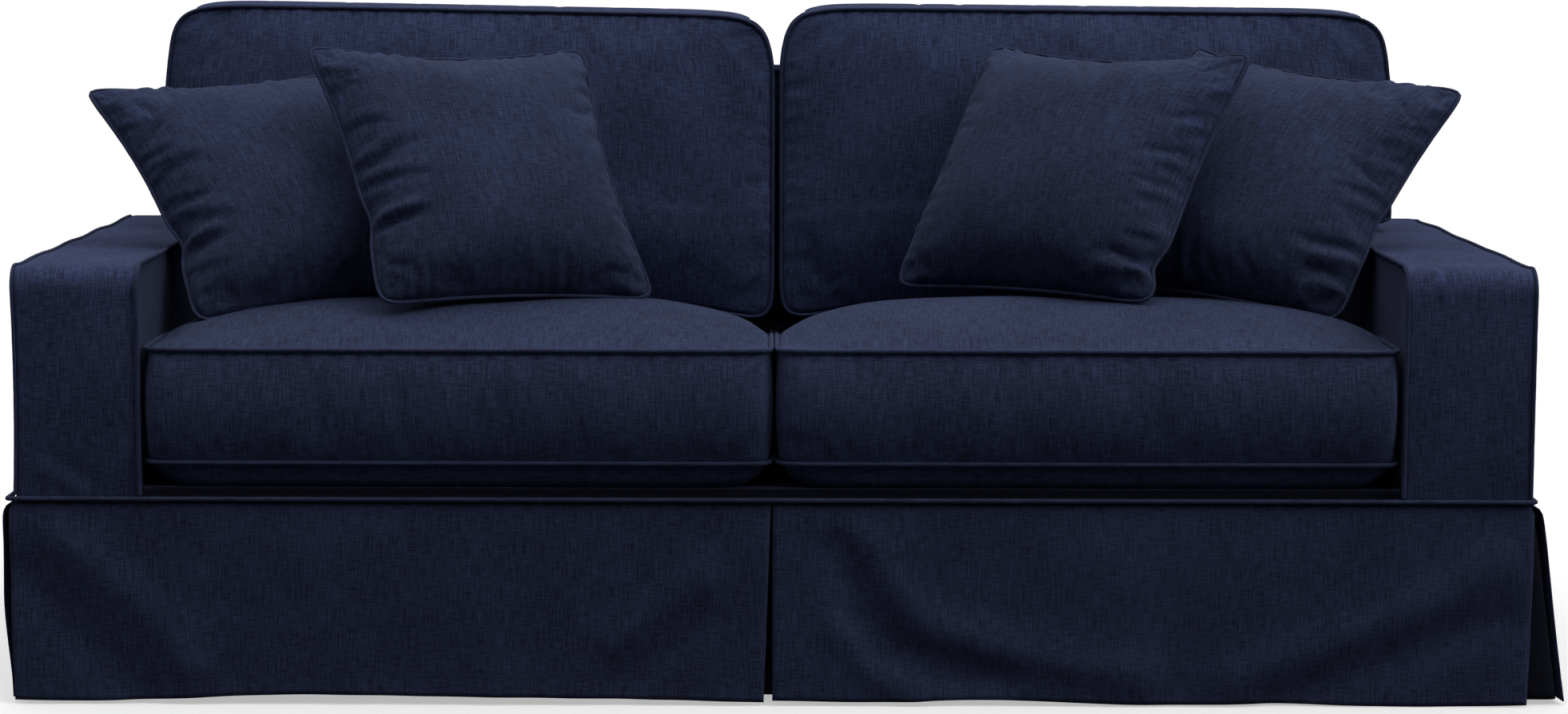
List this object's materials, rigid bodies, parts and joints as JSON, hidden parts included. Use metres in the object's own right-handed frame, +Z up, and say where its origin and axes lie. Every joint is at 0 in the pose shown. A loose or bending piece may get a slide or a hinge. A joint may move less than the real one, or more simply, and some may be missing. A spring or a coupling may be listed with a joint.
{
  "type": "sofa slipcover set",
  "caption": "Fitted floor-length slipcover for a square-armed sofa, hollow inside, with a kick-pleated skirt, piped box cushions and loose knife-edge pillows.",
  "frame": {"origin": "under the middle of the cover's back top strip, where the sofa's back holds the cover up", "axes": "+X to the right as seen from the front, +Y from the front of the arms to the back, +Z up"},
  "size_m": [2.2088, 0.9588, 0.9654],
  "materials": {
    "cover_cloth": "plain-woven slubby linen look, matt",
    "cushion_cloth": "plain-woven slubby linen look, matt",
    "pillow_cloth": "plain-woven slubby linen look, matt",
    "piping": "the cover's cloth sewn over a cord"
  },
  "bodies": {
    "root": {"deck": "cover_cloth", "front_band": "cover_cloth", "inside_back": "cover_cloth", "back_strip": "cover_cloth", "outside_back": "cover_cloth", "pleat_centre": "cover_cloth", "skirt_front_left": "cover_cloth", "skirt_front_right": "cover_cloth", "skirt_side_left": "cover_cloth", "skirt_side_right": "cover_cloth", "skirt_back": "cover_cloth", "arm_strip_left": "cover_cloth", "arm_strip_right": "cover_cloth", "inside_arm_left": "cover_cloth", "inside_arm_right": "cover_cloth", "outside_arm_left": "cover_cloth", "outside_arm_right": "cover_cloth", "pleat_corner_front_left": "cover_cloth", "pleat_corner_front_right": "cover_cloth", "pleat_corner_back_right": "cover_cloth", "pleat_corner_back_left": "cover_cloth", "skirt_welt": "piping", "back_welt_front": "piping", "back_welt_rear": "piping", "arm_welt_inner_left": "piping", "arm_welt_inner_right": "piping", "arm_welt_outer_left": "piping", "arm_welt_outer_right": "piping", "seat_welt_top_left": "piping", "seat_welt_top_right": "piping", "seat_welt_bottom_left": "piping", "seat_welt_bottom_right": "piping", "back_cushion_welt_front_left": "piping", "back_cushion_welt_front_right": "piping", "back_cushion_welt_rear_left": "piping", "back_cushion_welt_rear_right": "piping", "pillow_welt_outer_left": "piping", "pillow_welt_inner_left": "piping", "pillow_welt_inner_right": "piping", "pillow_welt_outer_right": "piping", "seat_cushion_left": "cushion_cloth", "seat_cushion_right": "cushion_cloth", "back_cushion_left": "cushion_cloth", "back_cushion_right": "cushion_cloth", "pillow_outer_left": "pillow_cloth", "pillow_inner_left": "pillow_cloth", "pillow_inner_right": "pillow_cloth", "pillow_outer_right": "pillow_cloth"}
  },
  "joints": []
}
